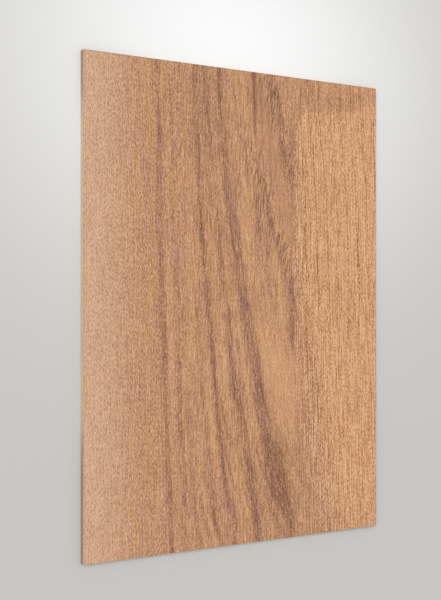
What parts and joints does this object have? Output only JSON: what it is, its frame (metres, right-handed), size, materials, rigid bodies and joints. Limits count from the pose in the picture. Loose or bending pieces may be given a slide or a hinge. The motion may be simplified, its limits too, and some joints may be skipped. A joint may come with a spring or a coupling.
{
  "type": "decorative laminate sheet",
  "caption": "Flat rectangular decorative laminate sheet with a brown wood-grain decor face, finely eased edges and a sanded back for bonding to a board.",
  "frame": {"origin": "middle of the flat back face, which is the face the sheet lies on", "axes": "+Z out of the decor face, upwards as the sheet lies; +Y along the grain and the sheet's long side; +X across the grain, to the right as the picture shows the sheet with +Y upwards"},
  "size_m": [0.21, 0.297, 0.004],
  "materials": {
    "laminate": "matte"
  },
  "bodies": {
    "root": {"laminate_sheet": "laminate"}
  },
  "joints": []
}
